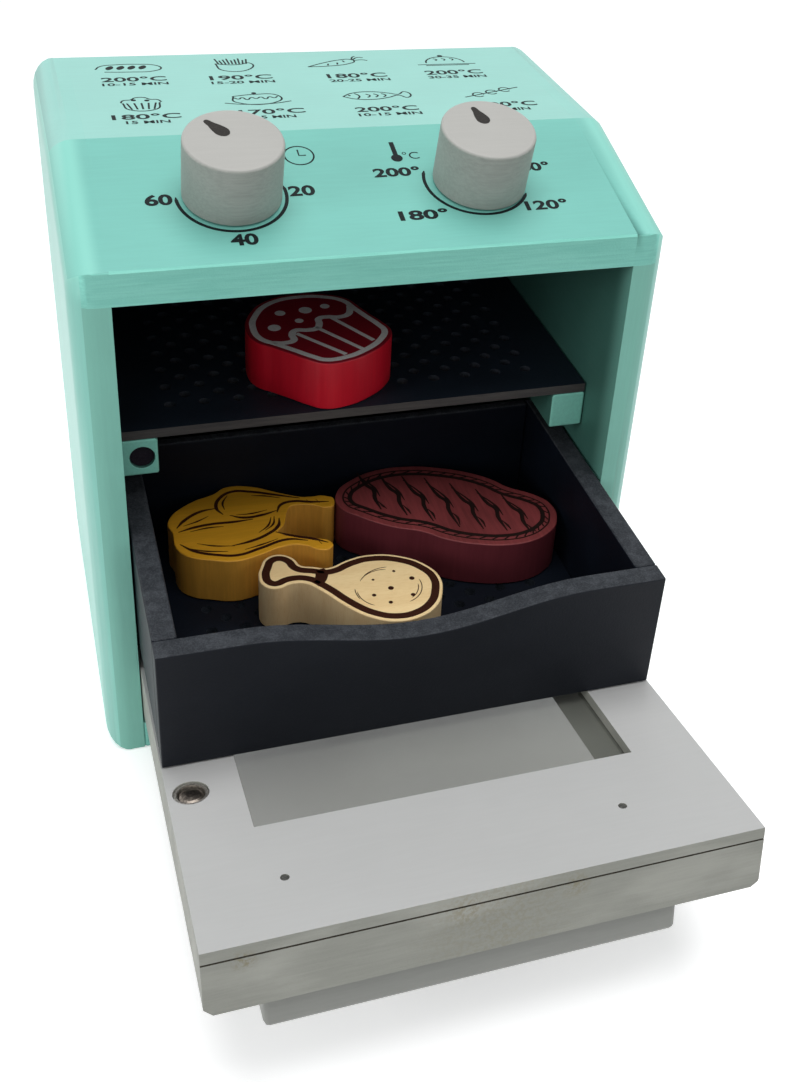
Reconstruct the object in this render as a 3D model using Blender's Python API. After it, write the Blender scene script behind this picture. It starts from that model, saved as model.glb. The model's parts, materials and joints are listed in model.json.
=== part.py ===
"""Wooden toy air fryer: a painted cabinet with two dials, a fold-down door with a
window, a pull-out basket, a perforated rack and four toy foods.

Metres, +Z up, +X to the right and -Y to the front as the child faces it. The origin
is the middle of the cabinet's footprint, on the surface that it stands on.
"""

import math

import bmesh
import bpy
from mathutils import Matrix, Vector

# Cabinet
CABINET_WIDTH = 0.2000
CABINET_DEPTH = 0.1480
SIDE_THICKNESS = 0.0130
SIDE_ROUNDOVER = 0.0085
ROUNDOVER_STEPS = 6
TOP_THICKNESS = 0.0120
BASE_THICKNESS = 0.0130
BACK_THICKNESS = 0.0030
CREASE_SETBACK = 0.0640
RAIL_TOP_HEIGHT = 0.1990
SLOPE_RISE = 0.0175
RAIL_HEIGHT = 0.0117
EDGE_EASE = 0.0006

# Gaps between neighbours
GLUE_GAP = 0.0003
SEAT_GAP = 0.0003
BORE_GAP = 0.0003
CUT_OVERRUN = 0.0020
MERGE_DISTANCE = 0.00001
FLAT_ANGLE = math.radians(0.5)

# Rails for the rack and runners for the basket, of one section
RUNNER_WIDTH = 0.0136
RUNNER_HEIGHT = 0.0148
RUNNER_SETBACK = 0.0231

# Rack, with staggered rows of holes
SLIDE_GAP = 0.0008
RACK_TOP_HEIGHT = 0.1269
RACK_THICKNESS = 0.0035
RACK_BACK_GAP = 0.0008
HOLE_PITCH = 0.0122
HOLE_ROW_STEP = 0.0061
HOLE_DIAMETER = 0.0042
HOLE_SIDES = 6
RACK_HOLE_MARGIN = 0.0145
FLOOR_HOLE_MARGIN = 0.0110

# Basket
BASKET_LENGTH = 0.1210
BASKET_HEIGHT = 0.0473
BASKET_WALL = 0.0080
BASKET_BACK_WALL = 0.0040
BASKET_PULLED_OUT = 0.0606
BASKET_BOTTOM = 0.0509
FLOOR_THICKNESS = 0.0035
FLOOR_LIFT = 0.0017
DIP_WIDTH = 0.1180
DIP_DEPTH = 0.0082
DIP_STEPS = 20

# Door, modelled shut about its pivot and then opened
DOOR_SIDE_GAP = 0.0005
DOOR_THICKNESS = 0.0227
DOOR_PANEL_THICKNESS = 0.0040
DOOR_HEAD_GAP = 0.0016
DOOR_OPEN_ANGLE = math.radians(79.54)
DOOR_ROUNDOVER = 0.0030
DOOR_ROUNDOVER_STEPS = 3
PIVOT_HEIGHT = 0.0257
FOOT_ARC_STEPS = 10
WINDOW_SIDE_BORDER = 0.0234
WINDOW_FOOT = 0.0345
WINDOW_HEAD_BORDER = 0.0476
PANE_THICKNESS = 0.0015
PANE_LAP = 0.0040
HINGE_PIN_DIAMETER = 0.0050
HINGE_PIN_IN_SIDE = 0.0085
HINGE_PIN_IN_DOOR = 0.0120

# Door handle and the two pins that hold it
HANDLE_SIDE_BORDER = 0.0217
HANDLE_OFFSET = -0.0049
HANDLE_WIDTH = 0.0400
HANDLE_THICKNESS = 0.0121
HANDLE_BELOW_TOP = 0.0229
HANDLE_ROUNDOVER = 0.0018
HANDLE_ROUNDOVER_STEPS = 2
HANDLE_PIN_INSET = 0.0112
HANDLE_PIN_DIAMETER = 0.0022
HANDLE_PIN_IN_HANDLE = 0.0080
HANDLE_PIN_RECESS = 0.0004

# Magnetic catch: a disc in the left rail and a cupped steel button in the door
CATCH_INSET = 0.0075
CATCH_HOLE_DIAMETER = 0.0116
CATCH_CUP_WALL = 0.0009
CATCH_CUP_RECESS = 0.0005
CATCH_BUTTON_DIAMETER = 0.0086
CATCH_BUTTON_RECESS = 0.0003
CATCH_DOME_RISE = 0.0016
CATCH_DOME_STEPS = 4
MAGNET_HOLE_DIAMETER = 0.0087
MAGNET_THICKNESS = 0.0030
MAGNET_RECESS = 0.0010

# Dials, placed up the sloping panel from its front edge and by shares of the inner width
DIAL_DIAMETER = 0.0322
DIAL_HEIGHT = 0.0220
DIAL_TOP_ROUND = 0.0010
DIAL_FOOT_CHAMFER = 0.0005
DIAL_LEFT_SHARE = -0.2563
DIAL_RIGHT_SHARE = 0.2293
DIAL_UP_SLOPE = 0.0330
DIAL_STEPS = 48
SPINDLE_DIAMETER = 0.0060
SPINDLE_IN_DIAL = 0.0120
WASHER_DIAMETER = 0.0140
WASHER_THICKNESS = 0.0015
SPINDLE_HEAD_DIAMETER = 0.0095
SPINDLE_HEAD_THICKNESS = 0.0022
FINE_STEPS = 24

# Toy foods, cut from one board
FOOD_THICKNESS = 0.0190
FOOD_EASE = 0.0005
OUTLINE_RESOLUTION = 3

# Each food's length, place to the right and place in depth, as shares of the basket's
# inside width. The cupcake's depth is from the cabinet's front, the rest from the
# basket's back wall
CUPCAKE_PLACE_SHARES = (0.301, -0.074, 0.326)
CUPCAKE_TURN = math.radians(33.5)
ROAST_PLACE_SHARES = (0.391, -0.251, 0.156)
ROAST_TURN = math.radians(-8)
DRUMSTICK_PLACE_SHARES = (0.412, -0.078, 0.430)
DRUMSTICK_TURN = math.radians(-25)
STEAK_PLACE_SHARES = (0.543, 0.231, 0.184)
STEAK_TURN = math.radians(-27)

# Outlines as shares of each food's length, anticlockwise from the right-hand end.
# The cupcake's is its right half, from the middle of the foot up
CUPCAKE_HALF_SHARES = (
    (0, -0.55), (0.24, -0.51), (0.36, -0.43), (0.40, -0.32), (0.43, -0.16), (0.46, -0.01),
    (0.49, 0.15), (0.41, 0.33), (0.27, 0.46),
)
CUPCAKE_CROWN_SHARE = 0.55
ROAST_SHARES = (
    (0.50, 0.17), (0.49, 0.21), (0.32, 0.22), (0.16, 0.28), (0.01, 0.35), (-0.15, 0.36),
    (-0.23, 0.29), (-0.37, 0.21), (-0.50, 0.03), (-0.47, -0.08), (-0.45, -0.22), (-0.39, -0.30),
    (-0.25, -0.35), (-0.12, -0.37), (-0.02, -0.34), (0.20, -0.24), (0.31, -0.25), (0.39, -0.30),
    (0.43, -0.30), (0.45, -0.26), (0.35, -0.21), (0.13, -0.12), (0.17, -0.04), (0.21, 0.13),
    (0.24, 0.16), (0.38, 0.16), (0.48, 0.13),
)
DRUMSTICK_SHARES = (
    (0.50, 0.02), (0.47, 0.14), (0.39, 0.22), (0.24, 0.27), (0.05, 0.24), (-0.05, 0.17),
    (-0.14, 0.08), (-0.23, 0.07), (-0.31, 0.07), (-0.36, 0.12), (-0.43, 0.14), (-0.49, 0.10),
    (-0.50, 0.02), (-0.49, -0.06), (-0.45, -0.12), (-0.39, -0.13), (-0.32, -0.07),
    (-0.24, -0.05), (-0.16, -0.08), (0.05, -0.21), (0.18, -0.26), (0.31, -0.26),
    (0.42, -0.20), (0.49, -0.09),
)
STEAK_SHARES = (
    (0.50, -0.01), (0.46, 0.11), (0.38, 0.16), (0.25, 0.19), (0.17, 0.23), (0.04, 0.26),
    (-0.08, 0.26), (-0.21, 0.24), (-0.36, 0.17), (-0.46, 0.06), (-0.50, -0.06), (-0.46, -0.15),
    (-0.37, -0.19), (-0.20, -0.23), (-0.07, -0.23), (0.05, -0.26), (0.19, -0.26),
    (0.32, -0.23), (0.42, -0.17), (0.48, -0.09),
)

# Places worked out from the sizes above
FRONT = -CABINET_DEPTH / 2
BACK = CABINET_DEPTH / 2
CABINET_HEIGHT = RAIL_TOP_HEIGHT + SLOPE_RISE
INNER_WIDTH = CABINET_WIDTH - 2 * SIDE_THICKNESS
RACK_WIDTH = BASKET_WIDTH = INNER_WIDTH - 2 * SLIDE_GAP
DOOR_WIDTH = INNER_WIDTH - 2 * DOOR_SIDE_GAP
WINDOW_WIDTH = DOOR_WIDTH - 2 * WINDOW_SIDE_BORDER
HANDLE_LENGTH = DOOR_WIDTH - 2 * HANDLE_SIDE_BORDER
HANDLE_PIN_SPACING = HANDLE_LENGTH - 2 * HANDLE_PIN_INSET
CASE_HALF = INNER_WIDTH / 2 - GLUE_GAP
CREASE = FRONT + CREASE_SETBACK
SLOPE_ANGLE = math.atan2(SLOPE_RISE, CREASE_SETBACK)
SLOPE_PANEL_THICKNESS = RAIL_HEIGHT * math.cos(SLOPE_ANGLE)
OPENING_TOP = RAIL_TOP_HEIGHT - RAIL_HEIGHT
BACK_FACE = BACK - BACK_THICKNESS
RUNNER_FRONT = FRONT + RUNNER_SETBACK
RUNNER_BACK = BACK_FACE - GLUE_GAP
RACK_RAIL_TOP = RACK_TOP_HEIGHT - RACK_THICKNESS - SEAT_GAP
BASKET_FRONT = FRONT - BASKET_PULLED_OUT
BASKET_BACK = BASKET_FRONT + BASKET_LENGTH
BASKET_INSIDE_WIDTH = BASKET_WIDTH - 2 * BASKET_WALL
BASKET_INSIDE_BACK = BASKET_BACK - BASKET_BACK_WALL
BASKET_RUNNER_TOP = BASKET_BOTTOM - SEAT_GAP
FLOOR_TOP = BASKET_BOTTOM + FLOOR_LIFT + FLOOR_THICKNESS
DOOR_HALF = DOOR_THICKNESS / 2
PIVOT_DEPTH = FRONT + DOOR_HALF
DOOR_TOP = OPENING_TOP - DOOR_HEAD_GAP - PIVOT_HEIGHT
WINDOW_HEAD = DOOR_TOP - WINDOW_HEAD_BORDER
HANDLE_UP_DOOR = DOOR_TOP - HANDLE_BELOW_TOP
DOOR_PANEL_FRONT = DOOR_HALF - DOOR_PANEL_THICKNESS
DOOR_FRAME_BACK = DOOR_PANEL_FRONT - GLUE_GAP
CATCH_X = CATCH_INSET - DOOR_WIDTH / 2
CATCH_HEIGHT = RACK_RAIL_TOP - RUNNER_HEIGHT / 2

SIDES = (("left", -1), ("right", 1))
DIAL_SIDES = (("left", DIAL_LEFT_SHARE * INNER_WIDTH), ("right", DIAL_RIGHT_SHARE * INNER_WIDTH))

# Paints and finishes: colour, roughness and, for metals, metallic
MINT = ((0.36, 0.70, 0.60), 0.45)
BLACK_STAIN = ((0.02, 0.024, 0.03), 0.6)
GREY_PAINT = ((0.45, 0.44, 0.42), 0.5)
RED_PAINT = ((0.58, 0.01, 0.03), 0.4)
MUSTARD = ((0.31, 0.14, 0.01), 0.45)
BARE_WOOD = ((0.70, 0.52, 0.30), 0.55)
MAROON = ((0.12, 0.02, 0.03), 0.5)
ACRYLIC = ((0.55, 0.57, 0.54), 0.1)
STEEL = ((0.35, 0.34, 0.33), 0.3, 1.0)
DARK_STEEL = ((0.08, 0.07, 0.07), 0.35, 1.0)


def collection(name):
    made = bpy.data.collections.new(name)
    bpy.context.scene.collection.children.link(made)
    return made


def finish(name, colour, roughness, metallic=0.0):
    """A Principled material for one piece."""
    made = bpy.data.materials.new(name)
    made.use_nodes = True
    shader = made.node_tree.nodes["Principled BSDF"]
    shader.inputs["Base Color"].default_value = (*colour, 1)
    shader.inputs["Roughness"].default_value = roughness
    shader.inputs["Metallic"].default_value = metallic
    made.diffuse_color = (*colour, 1)
    return made


def add(name, data, look):
    """One named object with its own material, or a cutter where there is no look."""
    made = bpy.data.objects.new(name, data)
    if look:
        TOY.objects.link(made)
        data.materials.append(finish(name, *look))
    else:
        CUTTERS.objects.link(made)
        made.hide_render = True
        made.display_type = "WIRE"
    return made


def mesh_from(name, bm):
    """A mesh with outward faces from a bmesh, which is then freed."""
    bmesh.ops.recalc_face_normals(bm, faces=bm.faces)
    data = bpy.data.meshes.new(name)
    bm.to_mesh(data)
    bm.free()
    return data


def ease(bm, edges, width, steps):
    bmesh.ops.bevel(
        bm, geom=edges, offset=width, offset_type="OFFSET", segments=steps,
        profile=0.5, affect="EDGES", clamp_overlap=True,
    )


def block(name, low, high, look, eased=EDGE_EASE, steps=1):
    """A box between two corners, with its edges eased."""
    low, high = Vector(low), Vector(high)
    bm = bmesh.new()
    bmesh.ops.create_cube(bm, size=1)
    bmesh.ops.scale(bm, vec=high - low, verts=bm.verts)
    bmesh.ops.translate(bm, vec=(low + high) / 2, verts=bm.verts)
    if look:
        ease(bm, bm.edges[:], eased, steps)
    return add(name, mesh_from(name, bm), look)


def plate(name, loops, thickness, look, eased=0.0, smooth=False):
    """A board cut to the first loop and pierced by the others, about its middle plane."""
    flat = bpy.data.curves.new(name, "CURVE")
    flat.dimensions = "2D"
    flat.fill_mode = "BOTH"
    flat.extrude = thickness / 2 - eased
    flat.bevel_depth = eased
    flat.bevel_resolution = 0
    flat.resolution_u = OUTLINE_RESOLUTION
    for loop in loops:
        spline = flat.splines.new("BEZIER" if smooth else "POLY")
        points = spline.bezier_points if smooth else spline.points
        points.add(len(loop) - 1)
        for point, (x, y) in zip(points, loop):
            point.co = (x, y, 0) if smooth else (x, y, 0, 1)
            if smooth:
                point.handle_left_type = point.handle_right_type = "AUTO"
        spline.use_cyclic_u = True
    guide = bpy.data.objects.new(name, flat)
    CUTTERS.objects.link(guide)
    seen = guide.evaluated_get(bpy.context.evaluated_depsgraph_get())
    bm = bmesh.new()
    bm.from_mesh(bpy.data.meshes.new_from_object(seen))
    bpy.data.objects.remove(guide, do_unlink=True)
    bmesh.ops.remove_doubles(bm, verts=bm.verts, dist=MERGE_DISTANCE)
    return add(name, mesh_from(name, bm), look)


def soften(made, width, steps, chosen):
    """Round the edges of a plate whose two ends pass a test."""
    bm = bmesh.new()
    bm.from_mesh(made.data)
    bmesh.ops.dissolve_limit(bm, angle_limit=FLAT_ANGLE, verts=bm.verts, edges=bm.edges)
    ease(bm, [e for e in bm.edges if all(chosen(v.co) for v in e.verts)], width, steps)
    bm.to_mesh(made.data)
    bm.free()


def turned(name, profile, look, steps=FINE_STEPS, ring=False):
    """A piece turned about Z from (radius, height) pairs, listed from the top down."""
    bm = bmesh.new()
    verts = [bm.verts.new((radius, 0, height)) for radius, height in profile]
    edges = [bm.edges.new(ends) for ends in zip(verts, verts[1:] + verts[:1] if ring else verts[1:])]
    bmesh.ops.spin(bm, geom=verts + edges, cent=(0, 0, 0), axis=(0, 0, 1), angle=2 * math.pi, steps=steps)
    bmesh.ops.remove_doubles(bm, verts=bm.verts, dist=MERGE_DISTANCE)
    return add(name, mesh_from(name, bm), look)


def rod(name, diameter, low, high, look):
    """A plain cylinder about Z between two heights."""
    radius = diameter / 2
    return turned(name, [(0, high), (radius, high), (radius, low), (0, low)], look)


def place(made, matrix, parent=None):
    """Set where a piece lies, in its parent's frame if it has one."""
    made.matrix_basis = matrix
    made.parent = parent
    return made


def carry(parent, *pieces):
    """Hang pieces that were modelled in place on the empty that moves them."""
    for piece in pieces:
        piece.parent = parent
        piece.matrix_parent_inverse = parent.matrix_basis.inverted()


def mover(name, matrix):
    """An empty on the joint of a moving piece."""
    made = bpy.data.objects.new(name, None)
    TOY.objects.link(made)
    made.matrix_basis = matrix
    return made


def cut(made, *cutters):
    """Take cutters out of a piece."""
    for cutter in cutters:
        boolean = made.modifiers.new(cutter.name, "BOOLEAN")
        boolean.operation = "DIFFERENCE"
        boolean.solver = "EXACT"
        boolean.object = cutter
    return made


def at(x, y, z):
    return Matrix.Translation((x, y, z))


def section_frame():
    """For a section in Y and Z run along X."""
    return Matrix(((0, 0, 1), (1, 0, 0), (0, 1, 0))).to_4x4()


def facing(direction, x, y, z):
    """A frame at a point, whose Z points along a direction."""
    return at(x, y, z) @ Vector(direction).to_track_quat("Z", "Y").to_matrix().to_4x4()


def hole_grid(width, depth, margin):
    """Loops for staggered rows of small holes, centred on a board."""
    radius = HOLE_DIAMETER / 2
    rows = int((depth - 2 * margin) / HOLE_ROW_STEP) + 1
    columns = int((width - 2 * margin) / HOLE_PITCH) + 1
    turns = [2 * math.pi * corner / HOLE_SIDES for corner in range(HOLE_SIDES)]
    loops = []
    for row in range(rows):
        y = (row - (rows - 1) / 2) * HOLE_ROW_STEP
        count = columns - row % 2
        for column in range(count):
            x = (column - (count - 1) / 2) * HOLE_PITCH
            loops.append([(x + radius * math.cos(t), y + radius * math.sin(t)) for t in turns])
    return loops


def pierced(name, front, back, width, top, thickness, margin):
    """A level perforated board, by its top face."""
    half_width, half_depth = width / 2, (back - front) / 2
    edge = [
        (-half_width, -half_depth), (half_width, -half_depth), (half_width, half_depth),
        (-half_width, half_depth),
    ]
    made = plate(name, [edge] + hole_grid(width, back - front, margin), thickness, BLACK_STAIN)
    return place(made, at(0, (front + back) / 2, top - thickness / 2))


def side_panel(name, side):
    """A side of the cabinet, rounded over all round its outer face, with the hinge bore."""
    outline = [
        (FRONT, 0), (BACK, 0), (BACK, CABINET_HEIGHT), (CREASE, CABINET_HEIGHT),
        (FRONT, RAIL_TOP_HEIGHT),
    ]
    made = plate(name, [outline], SIDE_THICKNESS, MINT)
    outer = side * SIDE_THICKNESS / 2
    soften(made, SIDE_ROUNDOVER, ROUNDOVER_STEPS, lambda v: abs(v.z - outer) < MERGE_DISTANCE)
    place(made, at(side * (CABINET_WIDTH - SIDE_THICKNESS) / 2, 0, 0) @ section_frame())
    bore = rod(name + "_bore", HINGE_PIN_DIAMETER + 2 * BORE_GAP, -CUT_OVERRUN,
               HINGE_PIN_IN_SIDE + BORE_GAP, None)
    place(bore, facing((side, 0, 0), side * INNER_WIDTH / 2, PIVOT_DEPTH, PIVOT_HEIGHT))
    return cut(made, bore)


def dial_seat(offset):
    """Where a dial's axis leaves the sloping face, with Z out of the slope."""
    inward = DIAL_UP_SLOPE * math.cos(SLOPE_ANGLE)
    rise = DIAL_UP_SLOPE * math.sin(SLOPE_ANGLE)
    return at(offset, FRONT + inward, RAIL_TOP_HEIGHT + rise) @ Matrix.Rotation(SLOPE_ANGLE, 4, "X")


def cabinet():
    """The glued case: two sides, top, sloping dial panel, base and back."""
    side_panel("side_panel_left", -1)
    side_panel("side_panel_right", 1)
    top_underside = CABINET_HEIGHT - TOP_THICKNESS
    block("top_panel", (-CASE_HALF, CREASE + GLUE_GAP, top_underside),
          (CASE_HALF, BACK, CABINET_HEIGHT), MINT)
    block("base_panel", (-CASE_HALF, FRONT, 0), (CASE_HALF, BACK, BASE_THICKNESS), MINT)
    block("back_panel", (-CASE_HALF, BACK_FACE, BASE_THICKNESS + GLUE_GAP),
          (CASE_HALF, BACK, top_underside - GLUE_GAP), MINT)

    end = CREASE - GLUE_GAP
    end_height = CABINET_HEIGHT - GLUE_GAP * math.tan(SLOPE_ANGLE)
    section = [
        (FRONT, OPENING_TOP), (end, end_height - RAIL_HEIGHT), (end, end_height),
        (FRONT, RAIL_TOP_HEIGHT),
    ]
    panel = plate("control_panel", [section], 2 * CASE_HALF, MINT)
    soften(panel, EDGE_EASE, 1, lambda v: v.x < FRONT + MERGE_DISTANCE and v.y > OPENING_TOP + EDGE_EASE)
    place(panel, section_frame())
    for side, offset in DIAL_SIDES:
        bore = rod("spindle_bore_" + side, SPINDLE_DIAMETER + 2 * BORE_GAP,
                   -RAIL_HEIGHT - CUT_OVERRUN, CUT_OVERRUN, None)
        cut(panel, place(bore, dial_seat(offset)))


def rails():
    """Two rails under the rack and two runners under the basket, and the catch's magnet."""
    for side, sign in SIDES:
        outer, inner = sign * CASE_HALF, sign * (INNER_WIDTH / 2 - RUNNER_WIDTH)
        for name, top in (("rack_rail_", RACK_RAIL_TOP), ("basket_runner_", BASKET_RUNNER_TOP)):
            block(name + side, (min(outer, inner), RUNNER_FRONT, top - RUNNER_HEIGHT),
                  (max(outer, inner), RUNNER_BACK, top), MINT)
    mouth = facing((0, -1, 0), CATCH_X, RUNNER_FRONT, CATCH_HEIGHT)
    depth = MAGNET_RECESS + MAGNET_THICKNESS
    bore = rod("magnet_bore", MAGNET_HOLE_DIAMETER, -depth - BORE_GAP, CUT_OVERRUN, None)
    cut(bpy.data.objects["rack_rail_left"], place(bore, mouth))
    magnet = rod("catch_magnet", MAGNET_HOLE_DIAMETER - 2 * BORE_GAP, -depth, -MAGNET_RECESS, DARK_STEEL)
    place(magnet, mouth)


def dials():
    """Two wooden dials, each glued to a headed spindle with a washer under the panel."""
    radius = DIAL_DIAMETER / 2
    rounded = DIAL_TOP_ROUND * (1 - math.sqrt(1 / 2))
    washer_top = -SLOPE_PANEL_THICKNESS - SEAT_GAP
    washer_foot = washer_top - WASHER_THICKNESS
    head_top = washer_foot - SEAT_GAP
    head_foot = head_top - SPINDLE_HEAD_THICKNESS
    core, head, rim = SPINDLE_DIAMETER / 2, SPINDLE_HEAD_DIAMETER / 2, WASHER_DIAMETER / 2
    eye = core + BORE_GAP
    for side, offset in DIAL_SIDES:
        seat = mover("dial_axis_" + side, dial_seat(offset))
        dial = turned("dial_" + side, [
            (0, DIAL_HEIGHT), (radius - DIAL_TOP_ROUND, DIAL_HEIGHT),
            (radius - rounded, DIAL_HEIGHT - rounded),
            (radius, DIAL_HEIGHT - DIAL_TOP_ROUND), (radius, SEAT_GAP + DIAL_FOOT_CHAMFER),
            (radius - DIAL_FOOT_CHAMFER, SEAT_GAP), (0, SEAT_GAP),
        ], GREY_PAINT, DIAL_STEPS)
        bore = rod("dial_bore_" + side, 2 * eye, -CUT_OVERRUN, SPINDLE_IN_DIAL + BORE_GAP, None)
        cut(dial, place(bore, Matrix(), seat))
        spindle = turned("dial_spindle_" + side, [
            (0, SPINDLE_IN_DIAL), (core, SPINDLE_IN_DIAL), (core, head_top), (head, head_top),
            (head, head_foot), (0, head_foot),
        ], BARE_WOOD)
        washer = turned("dial_washer_" + side, [
            (eye, washer_top), (rim, washer_top), (rim, washer_foot), (eye, washer_foot),
        ], STEEL, ring=True)
        for piece in (dial, spindle, washer):
            place(piece, Matrix(), seat)


def rack():
    """The perforated shelf, free to slide out along its rails."""
    board = pierced("rack", RUNNER_FRONT, BACK_FACE - RACK_BACK_GAP, RACK_WIDTH,
                    RACK_TOP_HEIGHT, RACK_THICKNESS, RACK_HOLE_MARGIN)
    slide = mover("rack_slide", at(0, RUNNER_FRONT, RACK_TOP_HEIGHT))
    carry(slide, board)
    return slide


def basket():
    """The pull-out basket: a dipped front, three plain walls and a perforated floor."""
    half, top = BASKET_WIDTH / 2, BASKET_BOTTOM + BASKET_HEIGHT
    wall_front = BASKET_FRONT + BASKET_WALL + GLUE_GAP
    rim = [(-half, 0), (half, 0), (half, BASKET_HEIGHT)]
    for step in range(DIP_STEPS + 1):
        x = DIP_WIDTH * (1 / 2 - step / DIP_STEPS)
        swell = (1 + math.cos(2 * math.pi * x / DIP_WIDTH)) / 2
        rim.append((x, BASKET_HEIGHT - DIP_DEPTH * swell))
    rim.append((-half, BASKET_HEIGHT))
    front = plate("basket_front", [rim], BASKET_WALL, BLACK_STAIN)
    upright = Matrix.Rotation(math.pi / 2, 4, "X")
    place(front, at(0, BASKET_FRONT + BASKET_WALL / 2, BASKET_BOTTOM) @ upright)
    pieces = [front]
    for side, sign in SIDES:
        outer, inner = sign * half, sign * (half - BASKET_WALL)
        pieces.append(block("basket_" + side, (min(outer, inner), wall_front, BASKET_BOTTOM),
                            (max(outer, inner), BASKET_BACK, top), BLACK_STAIN))
    inside = half - BASKET_WALL - GLUE_GAP
    pieces.append(block("basket_back", (-inside, BASKET_INSIDE_BACK, BASKET_BOTTOM),
                        (inside, BASKET_BACK, top), BLACK_STAIN))
    pieces.append(pierced("basket_floor", wall_front, BASKET_INSIDE_BACK - GLUE_GAP,
                          2 * inside, FLOOR_TOP, FLOOR_THICKNESS, FLOOR_HOLE_MARGIN))
    slide = mover("basket_slide", at(0, BASKET_FRONT, BASKET_BOTTOM))
    carry(slide, *pieces)
    return slide


def foot_arc(first, last):
    """Points round the pivot below it, between two depths of the door's section."""
    start, end = (2 * math.pi - math.acos(depth / DOOR_HALF) for depth in (first, last))
    turns = [start + (end - start) * step / FOOT_ARC_STEPS for step in range(FOOT_ARC_STEPS + 1)]
    return [(DOOR_HALF * math.cos(turn), DOOR_HALF * math.sin(turn)) for turn in turns]


def door():
    """The fold-down door about its pivot: frame, pane, inner panel, handle and catch."""
    hinge = mover("door_axis", at(0, PIVOT_DEPTH, PIVOT_HEIGHT) @ Matrix.Rotation(DOOR_OPEN_ANGLE, 4, "X"))
    half = DOOR_WIDTH / 2
    frame_section = [(-DOOR_HALF, DOOR_TOP)] + foot_arc(-DOOR_HALF, DOOR_FRAME_BACK)
    frame = plate("door_frame", [frame_section + [(DOOR_FRAME_BACK, DOOR_TOP)]], DOOR_WIDTH, GREY_PAINT)
    soften(frame, DOOR_ROUNDOVER, DOOR_ROUNDOVER_STEPS,
           lambda v: v.x < MERGE_DISTANCE - DOOR_HALF and abs(v.z) > half - MERGE_DISTANCE)
    panel_section = [(DOOR_PANEL_FRONT, DOOR_TOP)] + foot_arc(DOOR_PANEL_FRONT, DOOR_HALF)
    panel = plate("door_panel", [panel_section + [(DOOR_HALF, DOOR_TOP)]], DOOR_WIDTH, GREY_PAINT)
    for board in (frame, panel):
        place(board, section_frame(), hinge)

    hole = block("window_hole", (-WINDOW_WIDTH / 2, -DOOR_THICKNESS, WINDOW_FOOT),
                 (WINDOW_WIDTH / 2, DOOR_THICKNESS, WINDOW_HEAD), None)
    lap, pane_front = WINDOW_WIDTH / 2 + PANE_LAP, DOOR_FRAME_BACK - PANE_THICKNESS
    pane_foot, pane_head = WINDOW_FOOT - PANE_LAP, WINDOW_HEAD + PANE_LAP
    rebate = block("pane_rebate", (-lap, pane_front - SEAT_GAP, pane_foot),
                   (lap, DOOR_PANEL_FRONT, pane_head), None)
    pane = block("window_pane", (SEAT_GAP - lap, pane_front, pane_foot + SEAT_GAP),
                 (lap - SEAT_GAP, DOOR_FRAME_BACK, pane_head - SEAT_GAP), ACRYLIC, GLUE_GAP)
    for piece in (hole, rebate, pane):
        place(piece, Matrix(), hinge)
    cut(frame, hole, rebate)
    cut(panel, hole)

    handle_back = -DOOR_HALF - GLUE_GAP
    left_end, lower_edge = HANDLE_OFFSET - HANDLE_LENGTH / 2, HANDLE_UP_DOOR - HANDLE_WIDTH / 2
    handle = block("door_handle", (left_end, handle_back - HANDLE_THICKNESS, lower_edge),
                   (left_end + HANDLE_LENGTH, handle_back, lower_edge + HANDLE_WIDTH),
                   GREY_PAINT, HANDLE_ROUNDOVER, HANDLE_ROUNDOVER_STEPS)
    place(handle, Matrix(), hinge)
    pin_end = -DOOR_THICKNESS - GLUE_GAP - HANDLE_PIN_IN_HANDLE
    for side, sign in SIDES:
        pin_x = HANDLE_OFFSET + sign * HANDLE_PIN_SPACING / 2
        seat = facing((0, 1, 0), pin_x, DOOR_HALF, HANDLE_UP_DOOR)
        bore = rod("handle_pin_bore_" + side, HANDLE_PIN_DIAMETER + 2 * BORE_GAP,
                   pin_end - BORE_GAP, CUT_OVERRUN, None)
        pin = rod("handle_pin_" + side, HANDLE_PIN_DIAMETER, pin_end, -HANDLE_PIN_RECESS, DARK_STEEL)
        for piece in (bore, pin):
            place(piece, seat, hinge)
        for board in (panel, frame, handle):
            cut(board, bore)

        bore = rod("hinge_bore_" + side, HINGE_PIN_DIAMETER + 2 * BORE_GAP,
                   -HINGE_PIN_IN_DOOR - BORE_GAP, CUT_OVERRUN, None)
        cut(frame, place(bore, facing((sign, 0, 0), sign * half, 0, 0), hinge))
        pin = rod("hinge_pin_" + side, HINGE_PIN_DIAMETER, -HINGE_PIN_IN_DOOR,
                  HINGE_PIN_IN_SIDE + INNER_WIDTH / 2 - half, STEEL)
        place(pin, facing((sign, 0, 0), sign * half, PIVOT_DEPTH, PIVOT_HEIGHT))
    catch(panel, hinge)


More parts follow.
